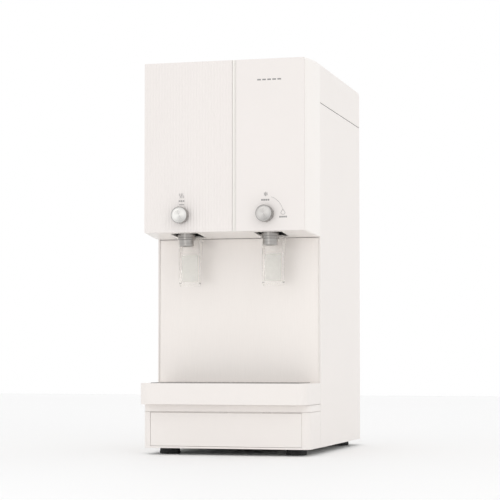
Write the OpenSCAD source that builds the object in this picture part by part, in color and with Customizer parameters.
// Countertop hot and cold water dispenser, millimetres.
// +Z up, front towards -Y, origin at the middle of the footprint on the worktop.
// The cabinet is stacked from the feet up: base front, neck, drip tray, cup bay, head.

/* [Body] */
// Width across the side panels
body_w = 260; // [240:1:320]
// Depth from the foremost face, a knob or the drip tray, to the back panel
body_d = 420; // [395:1:505]
// Depth of the head in front of the cup bay's rear wall
head_d = 85; // [80:1:100]
// Height of the head above the cup bay
head_h = 269.5; // [250:0.5:330]
// Clear height of the cup bay above the drip tray
bay_h = 222.5; // [180:0.5:280]
// Thickness of the moulded side, back and splash panels
panel_t = 2.5; // [2:0.1:3]
// Wall of the head housing, base front and tray
shell_t = 3; // [2.5:0.1:3.5]
// Plan radius of the rear corners
rear_r = 20; // [18:1:30]
// Radius of the long top edges
edge_r = 8; // [6:0.5:10]

/* [Head] */
// How far each side of the head flares out behind the front plates
flare_side = 5.2; // [2:0.1:8]
// How far the top of the head rises behind the front plates
flare_top = 6.3; // [2:0.1:8]
// How far the underside of the head drops towards the back
flare_bottom = 5; // [2:0.1:8]
// Thickness of the two front plates
plate_t = 3; // [2.5:0.1:4]
// Share of the front that the fluted plate covers
fluted_share = 0.555; // [0.52:0.005:0.6]
// Width of the trim between the plates
trim_w = 5.6; // [4:0.1:8]
// Distance between flutes
flute_pitch = 4.6; // [4:0.1:6]
// Height of the top cover's skirt
skirt_h = 63; // [50:1:70]

/* [Outlets] */
// Distance of each outlet from the middle
outlet_x = 65.7; // [60:0.1:75]
// Clearance between each nozzle and the front of its opening
nozzle_gap = 2.2; // [1.5:0.1:4]
// Diameter of the nozzle sleeve
nozzle_d = 26.6; // [22:0.1:32]
// Diameter of the nozzle tip
tip_d = 22; // [18:0.1:24]
// Height of the sleeve below the head
sleeve_drop = 7.7; // [5:0.1:10]
// Height of the tip below the sleeve
tip_drop = 9.8; // [8:0.1:14]
// Width of the opening around each outlet
cup_w = 43; // [40:0.5:52]
// Clear height of the recess above the head's lowest edge
cup_h = 19; // [17:0.5:24]

/* [Levers] */
// Width of each lever paddle
lever_w = 34; // [28:0.5:41]
// Length of the paddle below the head
lever_drop = 78; // [60:1:100]
// How far the toe of the paddle reaches forward
toe_out = 6; // [3:0.5:9]
// Thickness of the paddle
lever_t = 2.6; // [2:0.1:3.2]
// Radius of the lever's pin
pin_r = 1.5; // [1.2:0.05:1.8]
// Radius of the hub around the pin
hub_r = 3.6; // [3.2:0.1:4]
// Travel of the levers
lever_travel = 12; // [8:1:14]

/* [Knobs] */
// Diameter of the hot button and the cold knob
knob_d = 25; // [20:0.5:30]
// How far the knobs stand out
knob_out = 14; // [10:0.5:18]
// Height of the knobs above the lower edge of the front plates
knob_rise = 25.2; // [24:0.1:34]
// Radius of the knobs' shafts
shaft_r = 3; // [2.5:0.1:3.5]
// Travel of the hot button
press_travel = 3; // [2:0.5:4]

/* [Base] */
// Height of the feet
foot_h = 10; // [6:0.5:15]
// Diameter of the feet
foot_d = 32; // [26:1:36]
// Height of the base front
base_front_h = 55; // [45:1:80]
// Height of the neck under the drip tray
neck_h = 11; // [9:0.5:16]
// Height of the drip tray
tray_h = 32; // [26:0.5:42]
// How far the drip tray stands ahead of the front plates
tray_out = 11; // [6:0.5:20]
// How far the base front is set back behind the front plates
base_in = 10.6; // [6:0.1:16]
// Plan radius of the tray's front corners
tray_r = 15; // [10:0.5:20]
// Plan radius of the base's front corners
base_r = 12; // [8:0.5:12]
// Thickness of the drip grille
grille_t = 2; // [1.5:0.1:3]
// How far the grille stands above the rim of the tray
grille_rise = 1; // [0:0.1:1.2]
// Length of a slot in the drip grille
slot_l = 19; // [14:0.5:22]
// Width of a slot in the drip grille
slot_w = 3.6; // [3:0.1:4.5]

/* [Inside] */
// Diameter of a filter cartridge
filter_d = 58; // [48:1:66]
// Length of a filter cartridge
filter_l = 225; // [200:1:270]
// Diameter of the cold tank
cold_d = 104; // [90:1:108]
// Thickness of the cold tank's foam jacket
foam_t = 18; // [14:1:20]
// Height of the cold tank
cold_h = 150; // [120:1:165]
// Diameter of the hot tank with its jacket
hot_d = 84; // [70:1:88]
// Height of the hot tank
hot_h = 140; // [110:1:160]
// Diameter of the compressor
compressor_d = 108; // [96:1:114]
// Height of the compressor's shell
compressor_h = 120; // [100:1:140]
// Size of the square cooling fan
fan_w = 92; // [80:1:100]
// Radius of the hole that takes the supply tube
inlet_r = 3.2; // [3.15:0.01:3.3]

/* [Hidden] */
$fn = 48;

// Gaps between pieces
seam = 0.4;       // between fixed panels
cover_gap = 1.2;  // shadow gap under the top cover
lower_gap = 0.25; // around the lower cover
run = 0.05;       // radial clearance of a pin or shaft in its hole
eps = 0.01;
cap_t = 1.6;      // depth of the seat of a knob's cap
cap_out = 0.2;    // rim of the cap ahead of the knob's skirt

// Heights
base_z = foot_h;
neck_z = base_z + base_front_h;
tray_z = neck_z + neck_h;
deck_z = tray_z + tray_h;
head_z = deck_z + bay_h;                 // underside of the head at its back edge
top_z = head_z + head_h;
plate_z0 = head_z + flare_bottom;        // lower edge of the front plates
plate_z1 = top_z - flare_top;            // upper edge of the front plates
cover_z = top_z - skirt_h;
ceiling_z = plate_z0 + cup_h - flare_bottom;
knob_z = plate_z0 + knob_rise;
pivot_z = ceiling_z - hub_r - 4;

// Depths
plate_y = -body_d / 2 + max(tray_out, knob_out + cap_out);
tray_y = plate_y - tray_out;
join_y = plate_y + head_d;
base_y = plate_y + base_in;
back_y = body_d / 2;
cup_y = plate_y + plate_t + shell_t + 6; // front of the outlet openings
noz_y = cup_y + nozzle_gap + nozzle_d / 2;
paddle_y = noz_y + nozzle_d / 2 + 2.6;   // front face of the lever paddles
pivot_y = paddle_y + 13;
swing = (pivot_z - head_z) * sin(lever_travel);
cup_d = pivot_y + hub_r + swing + 3.6 - cup_y; // depth of the outlet openings

// Widths
plate_w = body_w - 2 * flare_side;
plate_x = -plate_w / 2;
trim_x = plate_x + plate_w * fluted_share;
inner_w = body_w - 2 * panel_t;
back_w = body_w - 2 * rear_r;
flange_w = 14;

// Service pocket in the back panel
pocket_w = 180;
pocket_h = 74;
pocket_d = 30;
pocket_z = base_z + 28;
pocket_t = 2;
fitting_z = pocket_z + pocket_h / 2;
pocket_y = back_y - pocket_d;            // floor of the pocket

// Inside layout
shelf_z = head_z - 4;
shelf_t = 3;
tank_z = shelf_z + shelf_t + 2;
cold_x = -(inner_w / 2 - cold_d / 2 - foam_t - 4);
hot_x = inner_w / 2 - hot_d / 2 - 6;
tank_y = back_y - panel_t - flange_w - cold_d / 2 - foam_t - 4;
filter_y = join_y + panel_t + 8 + filter_d / 2;
filter_x = filter_d + 12;
manifold_h = 30;
manifold_z = shelf_z - 14 - manifold_h;
filter_z = manifold_z - filter_l;
fan_t = 25;
fan_y = back_y - panel_t - 6 - fan_t;
fan_z = pocket_z + pocket_h + 20 + fan_w / 2;
compressor_y = filter_y + filter_d / 2 + 16 + compressor_d / 2;
compressor_x = -28;
grommet_h = 8;
pan_t = 3;
fan_r = fan_w / 2 - 4;
blade_n = 7;
fan_x = 34;

// Drip tray
lip_w = 13;                              // rim around the grille
grille_w = body_w - 2 * (tray_r + seam);
grille_y0 = tray_y + lip_w;
grille_y1 = join_y - seam - 6;
grille_gap = 0.5;
ledge_w = 5;
basin_t = 3;

// Vents and flanges of the cabinet
vent_n = 16;
vent_x = 38;
vent_w = 64;
vent_h = 5;
vent_pitch = 14;
flange_t = 4;
flange_lap = 7;
base_rim = 3;                            // base front left below the lower cover
cover_rim = 1;                           // base front left above it

// Knobs and the blocks behind them
rim_t = 0.8;                             // skirt's rim round the cap
skirt_t = 2.5;
skirt_floor = 5;                         // face of the knob to the hollow behind it
press_gap = press_travel + 0.6;          // air behind the hot button's skirt
turn_gap = 1;                            // air behind the cold knob's skirt
valve_y = plate_y + plate_t + shell_t;   // front of the parts behind the housing wall
shaft_in = 9;                            // length of a shaft inside its block
tail_l = plate_t + shell_t + shaft_in;
block_d = shaft_in + press_travel + 2;

// Water path
valve_z = knob_z + 40;
spigot_r = 5;
neck_r = 12;                             // neck of a filter cartridge

// Connections in the service pocket
inlet_x = -60;
power_x = 52;
rocker_xs = [-22, 6];
rocker_y = pocket_y - 1;                 // axis of the rockers
rocker_pin_r = 1.2;
rocker_tilt = 10;

// ---------------------------------------------------------------- shared shapes

// Plan of a box whose two rear corners are round
module rear_plan(w, y0, y1, r) {
    translate([-w / 2, y0]) square([w, y1 - r - y0]);
    translate([-w / 2 + r, y0]) square([w - 2 * r, y1 - y0]);
    for (s = [-1, 1]) translate([s * (w / 2 - r), y1 - r]) circle(r);
}

// Plan of a box whose two front corners are round
module front_plan(w, y0, y1, r) {
    translate([-w / 2, y0 + r]) square([w, y1 - y0 - r]);
    translate([-w / 2 + r, y0]) square([w - 2 * r, y1 - y0]);
    for (s = [-1, 1]) translate([s * (w / 2 - r), y0 + r]) circle(r);
}

// Upright box centred on x
module slab(w, y0, y1, z0, z1) {
    translate([-w / 2, y0, z0]) cube([w, y1 - y0, z1 - z0]);
}

module slab_plan(w, y0, y1) {
    translate([-w / 2, y0]) square([w, y1 - y0]);
}

// Cylinder along Y from y0 to y1
module rod_y(x, z, r, y0, y1) {
    translate([x, y1, z]) rotate([90, 0, 0]) cylinder(r = r, h = y1 - y0);
}

// Cylinder along X, centred on x
module rod_x(x, y, z, r, l) {
    translate([x - l / 2, y, z]) rotate([0, 90, 0]) cylinder(r = r, h = l);
}

// Tube that runs straight from one height to another
module tube_z(r, wall, z0, z1) {
    translate([0, 0, z0]) difference() {
        cylinder(r = r, h = z1 - z0);
        translate([0, 0, -1]) cylinder(r = r - wall, h = z1 - z0 + 2);
    }
}

// Cross-section slice of the head at depth t (0 at the plates, 1 at the join)
module head_slice(t, inset) {
    f = sin(90 * min(t, 1));
    w = plate_w + 2 * flare_side * f - 2 * inset;
    z0 = plate_z0 - flare_bottom * f + inset;
    z1 = plate_z1 + flare_top * f - inset;
    r_top = 4 + (edge_r - 4) * f - min(inset, 3);
    r_low = 3 - min(inset, 2);
    y = plate_y + t * head_d + 2 * eps;
    translate([0, y, 0]) rotate([90, 0, 0]) for (s = [-1, 1]) {
        translate([s * (w / 2 - r_top), z1 - r_top]) cylinder(r = r_top, h = eps, $fn = 32);
        translate([s * (w / 2 - r_low), z0 + r_low]) cylinder(r = r_low, h = eps, $fn = 16);
    }
}

// The head's flared volume between two depths, moved in by inset
module head_volume(t0, t1, inset) {
    steps = 8;
    hull() for (k = [0:steps]) head_slice(t0 + (t1 - t0) * k / steps, inset);
}

// ---------------------------------------------------------------- cabinet shell

// Plan of the space inside the cabinet, moved in by inset
module floor_plan(inset) {
    y1 = back_y - panel_t - inset;
    front_plan(body_w - 2 * shell_t - 2 * inset, base_y + shell_t + inset, join_y + 1,
               base_r - shell_t);
    difference() {
        rear_plan(body_w - 2 * shell_t - 2 * inset, join_y, y1, rear_r - panel_t);
        for (s = [-1, 1]) translate([s * (back_w / 2 - 3) - flange_w / 2 - 7, y1 - 5])
            square([flange_w + 14, 6]);
    }
}

module base_pan() {
    color("gainsboro") difference() {
        union() {
            translate([0, 0, base_z]) linear_extrude(pan_t) floor_plan(seam);
            // upstand that stiffens the rim
            translate([0, 0, base_z]) linear_extrude(14) difference() {
                slab_plan(inner_w - 20, join_y + 4, pocket_y - 6);
                slab_plan(inner_w - 25, join_y + 6.5, pocket_y - 8.5);
            }
            // foot bosses
            foot_places() translate([0, 0, base_z]) cylinder(d = foot_d - 8, h = 9);
            compressor_places() translate([0, 0, base_z]) cylinder(r = 4, h = pan_t + grommet_h + 5);
        }
        foot_places() translate([0, 0, base_z - 1]) cylinder(r = 5, h = 8);
        // air slots below the cooling parts
        for (k = [0:7]) translate([fan_x - 35, fan_y - 70 + k * 10, base_z - 1]) cube([70, 5, pan_t + 2]);
    }
}

module foot_places() {
    for (s = [-1, 1], y = [base_y + 42, back_y - 45])
        translate([s * (inner_w / 2 - 28), y, 0]) children();
}

module feet() {
    color("dimgray") foot_places() union() {
        rotate_extrude() polygon([
            [0, 0], [foot_d / 2 - 2, 0], [foot_d / 2, 2], [foot_d / 2 - 1, base_z], [0, base_z]
        ]);
        translate([0, 0, base_z - eps]) cylinder(r = 4.95, h = 6);
    }
}

module side_panel(s) {
    z0 = base_z;
    h = cover_z - cover_gap / 2 - z0;
    difference() {
        union() {
            translate([0, 0, z0]) linear_extrude(h) intersection() {
                difference() {
                    rear_plan(body_w, join_y, back_y, rear_r);
                    rear_plan(inner_w, join_y - 1, back_y - panel_t, rear_r - panel_t);
                }
                translate([s > 0 ? back_w / 2 + seam / 2 : -body_w, join_y - 1])
                    square([body_w - back_w / 2 - seam / 2, body_d]);
            }
            // rear flange behind the back panel
            translate([0, 0, z0]) linear_extrude(h)
                translate([
                    s > 0 ? back_w / 2 - flange_w : -back_w / 2 - flange_lap,
                    back_y - panel_t - flange_t
                ])
                    square([flange_w + flange_lap, flange_t]);
            // front flange that the splash panel is fixed to
            translate([s > 0 ? inner_w / 2 - 12 : -inner_w / 2 - eps, join_y + 1 + panel_t, tray_z])
                cube([12 + eps, 2.5, head_z - 4 - tray_z]);
        }
        screw_places() rod_y(0, 0, 1.6, back_y - 14, back_y);
    }
}

module side_panel_left() { color("linen") side_panel(-1); }
module side_panel_right() { color("linen") side_panel(1); }

// Screws along both edges of the back panel
module screw_places() {
    n = 4;
    for (s = [-1, 1], k = [0:n - 1])
        translate([s * (back_w / 2 - 7), 0, base_z + 20 + k * (cover_z - base_z - 40) / (n - 1)])
            children();
}

module back_screws() {
    color("silver") screw_places() {
        rotate([90, 0, 0]) union() {
            translate([0, 0, -back_y + 0.3]) cylinder(r = 3, h = 1 - eps);
            translate([0, 0, -back_y + 1]) cylinder(r = 1.6 - eps, h = 8);
        }
    }
}

module back_panel() {
    color("linen") difference() {
        translate([-back_w / 2 + seam / 2, back_y - panel_t, base_z])
            cube([back_w - seam, panel_t, cover_z - cover_gap / 2 - base_z]);
        // opening for the service pocket
        translate([-pocket_w / 2, back_y - panel_t - 1, pocket_z])
            cube([pocket_w, panel_t + 2, pocket_h]);
        // vents in front of the fan and above it
        for (s = [-1, 1], k = [0:vent_n - 1])
            translate([s * vent_x - vent_w / 2, back_y - panel_t - 1, fan_z - fan_w / 2 + k * vent_pitch])
                cube([vent_w, panel_t + 2, vent_h]);
        // screw heads sit in counterbores
        screw_places() rod_y(0, 0, 3.3, back_y - 1.3, back_y + 1);
        screw_places() rod_y(0, 0, 1.8, back_y - panel_t - 1, back_y);
    }
}

// Cover over the cabinet behind the head, with round top edges
module cover_volume(inset, z0, z1) {
    r = edge_r - min(inset, 3);
    n = 6;
    slice = 0.05;
    hull() {
        translate([0, 0, z0]) linear_extrude(slice)
            rear_plan(body_w - 2 * inset, join_y + seam / 2, back_y - inset, rear_r - inset);
        for (k = [0:n]) {
            a = 90 * k / n;
            m = inset + r * (1 - cos(a));
            translate([0, 0, z1 - r + r * sin(a) - slice]) linear_extrude(slice)
                rear_plan(body_w - 2 * m, join_y + seam / 2, back_y - m, rear_r - m);
        }
    }
}

// Ring inside the cabinet walls, open towards the head
module lip_ring(gap, t) {
    difference() {
        rear_plan(inner_w - 2 * gap, join_y + 8, back_y - panel_t - gap, rear_r - panel_t);
        rear_plan(inner_w - 2 * gap - 2 * t, join_y + 5, back_y - panel_t - gap - t,
                  rear_r - panel_t - t);
    }
}

module top_cover() {
    lip = 1.8;
    color("linen") difference() {
        union() {
            difference() {
                cover_volume(0, cover_z + cover_gap / 2, top_z);
                cover_volume(panel_t, cover_z - 1, top_z - panel_t);
            }
            // lip that drops inside the side and back panels, and the step that carries it
            translate([0, 0, cover_z - 6]) linear_extrude(16) lip_ring(seam, lip);
            translate([0, 0, cover_z + cover_gap / 2 + seam]) linear_extrude(5)
                lip_ring(-1, lip + seam + 1);
        }
        // the flanges of the side panels pass inside the lip
        for (s = [-1, 1]) translate([s * back_w / 2 - 22, back_y - panel_t - 12, cover_z - 7])
            cube([44, 12 - eps, 7 + seam]);
    }
}

module front_housing() {
    t0 = plate_t / head_d;
    color("ivory") difference() {
        head_volume(t0, 1 - seam / 2 / head_d, 0);
        head_volume(t0 + shell_t / head_d, 1 + 2 / head_d, shell_t);
        for (s = [-1, 1]) {
            translate([s * outlet_x - cup_w / 2, cup_y, head_z - 2]) cube([cup_w, cup_d, 20]);
            rod_y(s * outlet_x, knob_z, shaft_r + 2, plate_y, plate_y + 20);
        }
    }
}

module plate(x0, x1) {
    difference() {
        translate([x0, plate_y, plate_z0]) cube([x1 - x0, plate_t, plate_z1 - plate_z0]);
        for (s = [-1, 1]) rod_y(s * outlet_x, knob_z, shaft_r + 1, plate_y - 1, plate_y + 10);
    }
}

module fluted_panel() {
    w = trim_x - seam / 2 - plate_x;
    n = floor((w - 2) / flute_pitch);
    x0 = plate_x + (w - (n - 1) * flute_pitch) / 2;
    flute_r = flute_pitch * 0.62;
    color("seashell") difference() {
        plate(plate_x, trim_x - seam / 2);
        // shallow round flutes over the full height
        translate([0, 0, plate_z0 - 1]) linear_extrude(plate_z1 - plate_z0 + 2)
            for (k = [0:n - 1]) translate([x0 + k * flute_pitch, plate_y - flute_r + 0.45])
                circle(flute_r);
    }
}

module plain_panel() {
    color("seashell") plate(trim_x + trim_w + seam / 2, plate_x + plate_w);
}

module centre_trim() {
    color("silver") difference() {
        translate([trim_x + seam / 2, plate_y + 0.8, plate_z0 + eps])
            cube([trim_w - seam, plate_t - 0.8 - eps, plate_z1 - plate_z0 - 2 * eps]);
        translate([trim_x + trim_w / 2 - 0.8, plate_y, plate_z0 - 1])
            cube([1.6, 2, plate_z1 - plate_z0 + 2]);
    }
}

module splash_panel() {
    w = inner_w - 2 * seam;
    color("antiquewhite") difference() {
        slab(w, join_y + 1, join_y + 1 + panel_t - eps, tray_z + seam, head_z - 0.5);
        // keyholes that hang it on the front flanges
        for (s = [-1, 1]) rod_y(s * (w / 2 - 6), tray_z + 10, 1.6, join_y, join_y + 10);
    }
}

// ---------------------------------------------------------------- base and tray

module base_front() {
    color("linen") difference() {
        translate([0, 0, base_z]) linear_extrude(base_front_h)
            front_plan(body_w, base_y, join_y - seam, base_r);
        translate([0, 0, base_z - 1]) linear_extrude(base_front_h + 2)
            front_plan(body_w - 2 * shell_t, base_y + shell_t, join_y + 1, base_r - shell_t);
        // opening that the lower cover fills
        slab(body_w - 2 * base_r, base_y - 1, base_y + shell_t + 1, base_z + base_rim, neck_z - cover_rim);
    }
}

module lower_cover() {
    w = body_w - 2 * base_r - 2 * lower_gap;
    color("linen") union() {
        slab(w, base_y, base_y + shell_t - 0.3, base_z + base_rim + lower_gap,
             neck_z - cover_rim - lower_gap);
        // stiffening ribs on its back
        for (s = [-1, 0, 1]) translate([s * w / 3 - 1, base_y + 2, base_z + 10])
            cube([2, 8, base_front_h - 20]);
    }
}

module tray_carrier() {
    w = body_w - 2 * shell_t;
    color("linen") difference() {
        translate([0, 0, neck_z + seam / 2]) linear_extrude(neck_h - seam)
            front_plan(body_w, base_y, join_y - seam, base_r);
        // hollow below its deck
        translate([0, 0, neck_z - 1]) linear_extrude(neck_h - 2)
            front_plan(w, base_y + shell_t, join_y - shell_t - seam, base_r - shell_t);
    }
}

module drip_tray() {
    y1 = join_y - seam;
    z1 = deck_z - grille_t + grille_rise;
    color("ivory") difference() {
        translate([0, 0, tray_z + seam / 2]) linear_extrude(tray_h - seam / 2)
            front_plan(body_w, tray_y, y1, tray_r);
        // seat of the grille
        slab(grille_w + 2 * grille_gap, grille_y0 - grille_gap, grille_y1 + grille_gap, z1, deck_z + 1);
        // basin
        slab(grille_w - 2 * ledge_w, grille_y0 + ledge_w, grille_y1 - ledge_w,
             tray_z + basin_t, deck_z + 1);
    }
}

module drip_grille() {
    z0 = deck_z - grille_t + grille_rise;
    rows = 3;
    room_w = grille_w - 22;
    n = floor(room_w / (2 * slot_w));
    row_y = (grille_y1 - grille_y0 - 10) / rows;
    color("silver") translate([0, 0, z0]) linear_extrude(grille_t) difference() {
        translate([-grille_w / 2, grille_y0]) square([grille_w, grille_y1 - grille_y0]);
        for (j = [0:rows - 1], k = [0:n - 1])
            translate([
                (k - (n - 1) / 2) * room_w / n,
                grille_y0 + 5 + row_y * (j + 0.5) - slot_l / 2 + slot_w / 2
            ]) {
                translate([-slot_w / 2, 0]) square([slot_w, min(slot_l, row_y - 3) - slot_w]);
                circle(slot_w / 2);
                translate([0, min(slot_l, row_y - 3) - slot_w]) circle(slot_w / 2);
            }
    }
}

// ---------------------------------------------------------------- outlets and levers

module outlet_cup(s) {
    wall = 2;
    x = s * outlet_x;
    color("black") difference() {
        intersection() {
            difference() {
                translate([x - cup_w / 2 - wall, cup_y - wall, head_z - 2])
                    cube([cup_w + 2 * wall, cup_d + 2 * wall, ceiling_z + wall - head_z + 2]);
                translate([x - cup_w / 2, cup_y, head_z - 3])
                    cube([cup_w, cup_d, ceiling_z - head_z + 3]);
            }
            head_volume(0.02, 1, shell_t);
        }
        translate([x, noz_y, head_z]) cylinder(r = spigot_r + eps, h = 60);
        rod_x(x, pivot_y, pivot_z, pin_r, cup_w + 10);
    }
}

module outlet_cup_hot() { outlet_cup(-1); }
module outlet_cup_cold() { outlet_cup(1); }

module nozzle(s) {
    r = nozzle_d / 2;
    low = plate_z0 - flare_bottom / 2 - sleeve_drop;
    color("silver") translate([s * outlet_x, noz_y, 0]) rotate_extrude() polygon([
        [3, low + 2], [tip_d / 2 - 1.5, low + 2], [tip_d / 2 - 1.5, low], [r - 0.6, low], [r, low + 0.6],
        [r, ceiling_z - eps], [spigot_r, ceiling_z - eps], [spigot_r, ceiling_z + 12],
        [3, ceiling_z + 12]
    ]);
}

module nozzle_hot() { nozzle(-1); }
module nozzle_cold() { nozzle(1); }

module nozzle_tip(s) {
    r = tip_d / 2;
    high = plate_z0 - flare_bottom / 2 - sleeve_drop + 2 - eps;
    low = high - 2 - tip_drop;
    color("gray") translate([s * outlet_x, noz_y, 0]) rotate_extrude() polygon([
        [3.5, low + 3], [r - 3, low], [r - 0.6, low], [r, low + 0.6], [r, high - 2 - eps],
        [r - 1.6, high - 2 - eps], [r - 1.6, high], [3.5, high]
    ]);
}

module nozzle_tip_hot() { nozzle_tip(-1); }
module nozzle_tip_cold() { nozzle_tip(1); }

// Paddle with side flanges, hung from a pin in the recess
module lever(s) {
    x = s * outlet_x;
    z0 = head_z + flare_bottom / 2 - lever_drop;
    z1 = pivot_z;
    r = 3;
    frame_w = 4;
    foot_bar = 7;
    rib_z = plate_z0 - 32;
    difference() {
        union() {
            // front plate with round lower corners, thinned in the middle as a window
            difference() {
                translate([x, paddle_y + lever_t, 0]) rotate([90, 0, 0]) linear_extrude(lever_t) {
                    translate([-lever_w / 2, z0 + r]) square([lever_w, z1 - z0 - r]);
                    translate([-lever_w / 2 + r, z0]) square([lever_w - 2 * r, r + 1]);
                    for (c = [-1, 1]) translate([c * (lever_w / 2 - r), z0 + r]) circle(r);
                }
                translate([x - lever_w / 2 + frame_w, paddle_y - 1, z0 + foot_bar])
                    cube([lever_w - 2 * frame_w, 1.8, rib_z - z0 - foot_bar]);
            }
            // toe along the foot
            translate([x - lever_w / 2 + r, paddle_y - toe_out, z0])
                cube([lever_w - 2 * r, toe_out + 1, lever_t]);
            // side flanges reach back to the hub and narrow towards the foot
            for (c = [-1, 1]) translate([x + (c > 0 ? lever_w / 2 - lever_t : -lever_w / 2), 0, 0])
                rotate([90, 0, 90]) linear_extrude(lever_t) polygon([
                    [paddle_y + 1, z0 + r], [paddle_y + 5, z0 + r + 3], [paddle_y + 7, rib_z - 8],
                    [paddle_y + 11, rib_z + 6], [pivot_y + hub_r, head_z + 1], [pivot_y + hub_r, pivot_z],
                    [pivot_y, pivot_z + hub_r * 0.8], [paddle_y + 3, pivot_z - 1], [paddle_y + 1, pivot_z - 1]
                ]);
            // cross rib
            translate([x - lever_w / 2 + 1, paddle_y + 1, rib_z]) cube([lever_w - 2, 6, 2]);
            // hubs on the pin
            for (c = [-1, 1]) rod_x(x + c * (lever_w / 2 - 3.5), pivot_y, pivot_z, hub_r, 7);
        }
        rod_x(x, pivot_y, pivot_z, pin_r + run, lever_w + 10);
    }
}

module lever_hot() { color("whitesmoke") lever(-1); }
module lever_cold() { color("whitesmoke") lever(1); }

module lever_pins() {
    color("silver") for (s = [-1, 1])
        rod_x(s * outlet_x, pivot_y, pivot_z, pin_r, cup_w + 4 - eps);
}

// Swept wire: rings of points along a path, closed at both ends
function ring(c, u, v, r, n) = [for (k = [0:n - 1]) c + r * (cos(360 * k / n) * u + sin(360 * k / n) * v)];

module swept(path, axis, r, n) {
    last = len(path) - 1;
    points = [for (i = [0:last])
        let (
            d = path[min(i + 1, last)] - path[max(i - 1, 0)],
            t = d / norm(d),
            u0 = cross(t, axis),
            u = u0 / norm(u0),
            v = cross(u, t)
        ) each ring(path[i], u, v, r, n)];
    sides = [for (i = [0:last - 1], k = [0:n - 1])
        let (a = i * n + k, b = i * n + (k + 1) % n) [a, b, b + n, a + n]];
    ends = [[for (k = [n - 1:-1:0]) k], [for (k = [0:n - 1]) last * n + k]];
    polyhedron(points, concat(sides, ends), convexity = 6);
}

// Torsion spring round the pin between the lever's hubs
module lever_spring(s) {
    wire = 0.45;
    coil_r = pin_r + wire + 0.35;
    turns = 5;
    gap = 2.1;
    steps = turns * 12;
    path = [for (k = [0:steps]) [
        s * outlet_x + (k / steps - 0.5) * turns * gap * wire * 2,
        pivot_y + coil_r * cos(30 * k),
        pivot_z + coil_r * sin(30 * k)
    ]];
    color("silver") swept(path, [1, 0, 0], wire, 8);
}

module lever_spring_hot() { lever_spring(-1); }
module lever_spring_cold() { lever_spring(1); }

// Reed sensor behind each recess, which reads a magnet moulded into the lever
module lever_sensors() {
    color("green") for (s = [-1, 1])
        translate([s * outlet_x + lever_w / 2 - 12, cup_y + cup_d + 2 + eps, pivot_z - 6])
            cube([12, 4, 9]);
}

// ---------------------------------------------------------------- knobs

// Skirt and shaft of a knob; the cap is let into its face
module knob_body(s, tail, gap) {
    x = s * outlet_x;
    difference() {
        union() {
            rod_y(x, knob_z, knob_d / 2, plate_y - knob_out, plate_y - gap);
            rod_y(x, knob_z, shaft_r, plate_y - knob_out + 2, plate_y + tail);
        }
        rod_y(x, knob_z, knob_d / 2 - rim_t, plate_y - knob_out - 1, plate_y - knob_out + cap_t);
        // hollow behind the skirt
        difference() {
            rod_y(x, knob_z, knob_d / 2 - skirt_t, plate_y - knob_out + skirt_floor, plate_y + 1);
            rod_y(x, knob_z, shaft_r, plate_y - knob_out, plate_y + 2);
        }
    }
}

// Brushed cap with a shallow dish
module knob_cap(s) {
    x = s * outlet_x;
    r = knob_d / 2 - rim_t - eps;
    h = cap_t + cap_out;
    translate([x, plate_y - knob_out + cap_t - eps, knob_z]) rotate([90, 0, 0]) rotate_extrude()
        polygon([[0, 0], [r, 0], [r, h - 0.3 - eps], [r - 0.6, h - eps], [0, h - 0.6]]);
}

module hot_button() { color("dimgray") knob_body(-1, tail_l, press_gap); }
module hot_button_cap() { color("silver") knob_cap(-1); }
module cold_knob() { color("dimgray") knob_body(1, tail_l, turn_gap); }
module cold_knob_cap() { color("silver") knob_cap(1); }

// Block behind the housing wall with the bore that a shaft runs in
module shaft_block(s, depth, w, h) {
    x = s * outlet_x;
    difference() {
        translate([x - w / 2, valve_y + eps, knob_z - 8]) cube([w, depth, h]);
        rod_y(x, knob_z, shaft_r + run, valve_y - 1, valve_y + depth - 1);
    }
}

module button_switch() { color("steelblue") shaft_block(-1, block_d, 20, 20); }
module selector_valve() { color("khaki") shaft_block(1, block_d, 24, 24); }

// ---------------------------------------------------------------- water path

module solenoid(s) {
    block_h = 22;
    translate([s * outlet_x, noz_y, valve_z]) {
        translate([-14, -12, 0]) cube([28, 24, block_h]);
        translate([0, 0, block_h - eps]) cylinder(r = 11, h = 26);
        translate([0, 0, -8]) cylinder(r = spigot_r, h = 8 + eps);
    }
}

module hot_valve() { color("firebrick") solenoid(-1); }
module cold_valve() { color("royalblue") solenoid(1); }

// Tube from the solenoid down to the nozzle's spigot
module outlet_tube(s) {
    z0 = ceiling_z + 2 + eps;
    z1 = valve_z - 2;
    translate([s * outlet_x, noz_y, 0]) difference() {
        translate([0, 0, z0]) cylinder(r = spigot_r + 1.5, h = z1 - z0);
        translate([0, 0, z0 - 1]) cylinder(r = spigot_r + eps, h = z1 - z0 + 2);
    }
}

module outlet_tubes() {
    color("lightblue") for (s = [-1, 1]) outlet_tube(s);
}

// Round tank with a domed shoulder and a spigot
module tank(r, h) {
    rotate_extrude() polygon([
        [0, 0], [r - 6, 0], [r, 6], [r, h - 10], [r - 10, h], [6, h], [6, h + 10], [4, h + 10], [4, h - 2],
        [r - 11, h - 2], [r - 2, h - 11], [r - 2, 7], [r - 7, 2], [0, 2]
    ]);
}

module hot_tank() {
    color("silver") translate([hot_x, tank_y, tank_z]) tank(hot_d / 2, hot_h);
}

module heater_band() {
    r = hot_d / 2;
    color("gray") translate([hot_x, tank_y, 0]) tube_z(r + 2.5, 2.5 - eps, tank_z + 25, tank_z + 55);
}

module cold_tank() {
    color("silver") translate([cold_x, tank_y, tank_z + foam_t]) tank(cold_d / 2, cold_h);
}

module cold_jacket() {
    r = cold_d / 2;
    color("white") translate([cold_x, tank_y, tank_z]) difference() {
        cylinder(r = r + foam_t, h = cold_h + 2 * foam_t);
        translate([0, 0, foam_t - eps]) cylinder(r = r + 0.2, h = cold_h + 1);
        translate([0, 0, cold_h]) cylinder(r = 7, h = 3 * foam_t);
    }
}

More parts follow.
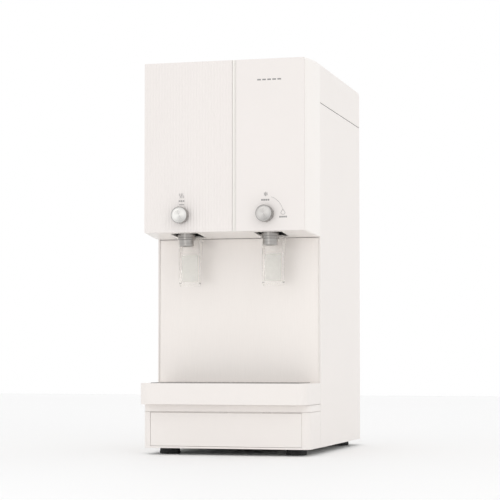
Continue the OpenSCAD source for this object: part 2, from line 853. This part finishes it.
module tank_shelf() {
    y0 = join_y + 12;
    y1 = back_y - panel_t - flange_w;
    color("lightgray") difference() {
        translate([0, 0, shelf_z]) linear_extrude(shelf_t)
            rear_plan(inner_w - 2 * seam, y0, y1, rear_r - panel_t);
        for (k = [-2:2]) translate([k * 40 - 12, filter_y + filter_d / 2 + 4, shelf_z - 1])
            cube([24, 12, 10]);
    }
}

// Filter cartridge with a neck and two bayonet lugs
module cartridge(k) {
    r = filter_d / 2;
    translate([k * filter_x, filter_y, filter_z]) union() {
        rotate_extrude() polygon([
            [0, 0], [r - 5, 0], [r, 5], [r, filter_l - 16], [r - 12, filter_l - 6], [neck_r, filter_l - 6],
            [neck_r, filter_l + 10], [0, filter_l + 10]
        ]);
        // grip ribs at the foot
        for (a = [0:45:315]) rotate([0, 0, a]) translate([r - 1, -1.5, 8]) cube([2, 3, 30]);
    }
}

module filter_sediment() { color("white") cartridge(-1); }
module filter_carbon() { color("white") cartridge(0); }
module filter_membrane() { color("white") cartridge(1); }

module filter_manifold() {
    color("lightsteelblue") difference() {
        union() {
            slab(2 * filter_x + 44, filter_y - 20, filter_y + 20, manifold_z, manifold_z + manifold_h);
            slab(inner_w - 2 * seam, filter_y - 4, filter_y + 4, manifold_z + 14, manifold_z + 24);
        }
        for (k = [-1:1]) translate([k * filter_x, filter_y, manifold_z - 1])
            cylinder(r = neck_r + run, h = 12);
    }
}

// ---------------------------------------------------------------- cooling

module compressor_places() {
    for (a = [90, 210, 330])
        translate([compressor_x, compressor_y, 0]) rotate([0, 0, a])
            translate([compressor_d / 2 - 12, 0, 0]) children();
}

module compressor() {
    r = compressor_d / 2;
    z0 = base_z + pan_t + grommet_h;
    color("dimgray") difference() {
        union() {
            translate([compressor_x, compressor_y, z0]) rotate_extrude() polygon([
                [0, 4], [r - 18, 4], [r - 8, 12], [r - 6, 30], [r - 6, compressor_h * 0.7],
                [r - 14, compressor_h - 8], [r - 30, compressor_h], [0, compressor_h]
            ]);
            translate([compressor_x, compressor_y, z0]) cylinder(r = r - 3, h = 4 + eps);
        }
        compressor_places() translate([0, 0, z0 - 1]) cylinder(r = 4.4, h = 16);
    }
}

module compressor_feet() {
    color("black") compressor_places() translate([0, 0, base_z + pan_t + eps])
        tube_z(8, 3.6, 0, grommet_h - 2 * eps);
}

module condenser() {
    fins = 18;
    w = fan_w - 6;
    y0 = fan_y - 32;
    color("silver") union() {
        for (k = [0:fins - 1])
            translate([fan_x - w / 2 + k * w / (fins - 1) - 0.3, y0, fan_z - w / 2]) cube([0.6, 24, w]);
        for (j = [0:3], i = [0, 1])
            rod_x(fan_x, y0 + 6 + 12 * i, fan_z - w / 2 + w * (j + 0.5) / 4, 3, w + 10);
    }
}

module fan_frame() {
    color("black") difference() {
        union() {
            difference() {
                translate([fan_x - fan_w / 2, fan_y, fan_z - fan_w / 2]) cube([fan_w, fan_t, fan_w]);
                rod_y(fan_x, fan_z, fan_r + 1, fan_y - 1, fan_y + fan_t + 1);
            }
            // hub plate on three arms
            rod_y(fan_x, fan_z, 16, fan_y, fan_y + 3);
            for (a = [90, 210, 330]) translate([fan_x, fan_y, fan_z]) rotate([0, -a, 0])
                translate([8, 0, -3]) cube([fan_r - 4, 3, 6]);
            rod_y(fan_x, fan_z, 2, fan_y, fan_y + fan_t - 4);
        }
    }
}

module fan_rotor() {
    y0 = fan_y + 4;
    color("gray") translate([fan_x, y0, fan_z]) rotate([-90, 0, 0]) difference() {
        union() {
            cylinder(r = 17, h = 18);
            for (k = [0:blade_n - 1]) rotate([0, 0, k * 360 / blade_n])
                translate([14, -1, 9]) rotate([35, 0, 0]) translate([0, -1, -9]) cube([fan_r - 16, 2, 18]);
        }
        translate([0, 0, -1]) cylinder(r = 2 + run, h = 30);
    }
}

// ---------------------------------------------------------------- electrics and services

module control_board() {
    y = valve_y + 14;
    w = 200;
    h = 90;
    z = plate_z1 - 20 - h;
    color("darkgreen") union() {
        slab(w, y, y + 1.6, z, z + h);
        for (k = [0:4]) translate([-80 + k * 34, y + 1.6 - eps, z + 12]) cube([18, 12, 24]);
        for (k = [0:3]) rod_y(-70 + k * 45, z + 65, 7, y + 1.6 - eps, y + 20);
        for (s = [-1, 1]) rod_y(s * (w / 2 - 8), z + h - 8, 3, valve_y + eps, y + eps);
        for (s = [-1, 1]) rod_y(s * (w / 2 - 8), z + 8, 3, valve_y + eps, y + eps);
    }
}

// Shallow box let into the back panel that holds the connections
module service_pocket() {
    difference() {
        color("gainsboro") union() {
            difference() {
                translate([-pocket_w / 2 + seam / 2, pocket_y - pocket_t, pocket_z + seam / 2])
                    cube([pocket_w - seam, pocket_d + pocket_t - 1, pocket_h - seam]);
                translate([-pocket_w / 2 + pocket_t, pocket_y, pocket_z + pocket_t])
                    cube([pocket_w - 2 * pocket_t, pocket_d + 1, pocket_h - 2 * pocket_t]);
            }
        }
        rod_y(inlet_x, fitting_z, 8, pocket_y - 5, pocket_y + 1);
        translate([power_x - 15, pocket_y - 5, fitting_z - 12]) cube([30, 10, 24]);
        for (x = rocker_xs) translate([x - 7, pocket_y - 5, fitting_z - 10]) cube([14, 10, 20]);
    }
}

// Push-in fitting for the supply tube
module inlet_fitting() {
    color("white") translate([inlet_x, 0, fitting_z]) rotate([-90, 0, 0]) difference() {
        union() {
            translate([0, 0, pocket_y - 20]) cylinder(r = 7.9, h = 22);
            translate([0, 0, pocket_y + eps]) cylinder(r = 10, h = 12);
            translate([0, 0, pocket_y + 12]) cylinder(r = 7, h = 5);
        }
        translate([0, 0, pocket_y - 3]) cylinder(r = inlet_r, h = 30);
        translate([0, 0, pocket_y - 21]) cylinder(r = 2, h = 30);
    }
}

// Flush socket for a detachable lead, with three blades
module power_inlet() {
    color("black") translate([power_x, pocket_y, fitting_z]) {
        difference() {
            union() {
                translate([-14.9, -20, -11.9]) cube([29.8, 21, 23.8]);
                translate([-20, eps, -15]) cube([40, 2.5, 30]);
            }
            translate([-12, -15, -8]) cube([24, 20, 16]);
        }
        for (k = [-1:1]) translate([k * 7 - 1, -15 - eps, k == 0 ? 0 : -4]) cube([2, 13, 4]);
    }
}

module rocker_frames() {
    color("black") for (x = rocker_xs) translate([x, 0, fitting_z]) difference() {
        union() {
            translate([-6.9, pocket_y - 14, -9.9]) cube([13.8, 15, 19.8]);
            translate([-9, pocket_y + eps, -12]) cube([18, 1.6, 24]);
        }
        translate([-5, pocket_y - 8, -8]) cube([10, 12, 16]);
        rod_x(0, rocker_y, 0, rocker_pin_r + run, 13);
    }
}

// Rocker that stands tilted to its "on" side at rest
module rocker(x) {
    translate([x, rocker_y, fitting_z]) rotate([rocker_tilt, 0, 0]) {
        rotate([90, 0, 90]) translate([0, 0, -4.8]) linear_extrude(9.6)
            polygon([[-3, -5], [-3, 5], [1, 6.8], [3.6, 6.8], [2.6, 0], [3.6, -6.8], [1, -6.8]]);
        rod_x(0, 0, 0, rocker_pin_r, 12.4);
    }
}

module heater_rocker() { color("firebrick") rocker(rocker_xs[0]); }
module cooler_rocker() { color("royalblue") rocker(rocker_xs[1]); }

base_pan();
feet();
side_panel_left();
side_panel_right();
back_panel();
top_cover();
front_housing();
fluted_panel();
plain_panel();
centre_trim();
splash_panel();
tray_carrier();
drip_tray();
drip_grille();
base_front();
lower_cover();
outlet_cup_hot();
outlet_cup_cold();
nozzle_hot();
nozzle_cold();
nozzle_tip_hot();
nozzle_tip_cold();
lever_hot();
lever_cold();
lever_pins();
lever_spring_hot();
lever_spring_cold();
lever_sensors();
hot_button();
hot_button_cap();
button_switch();
cold_knob();
cold_knob_cap();
selector_valve();
hot_valve();
cold_valve();
outlet_tubes();
hot_tank();
heater_band();
cold_tank();
cold_jacket();
tank_shelf();
filter_sediment();
filter_carbon();
filter_membrane();
filter_manifold();
compressor();
compressor_feet();
condenser();
fan_frame();
fan_rotor();
control_board();
service_pocket();
inlet_fitting();
power_inlet();
rocker_frames();
heater_rocker();
cooler_rocker();
back_screws();
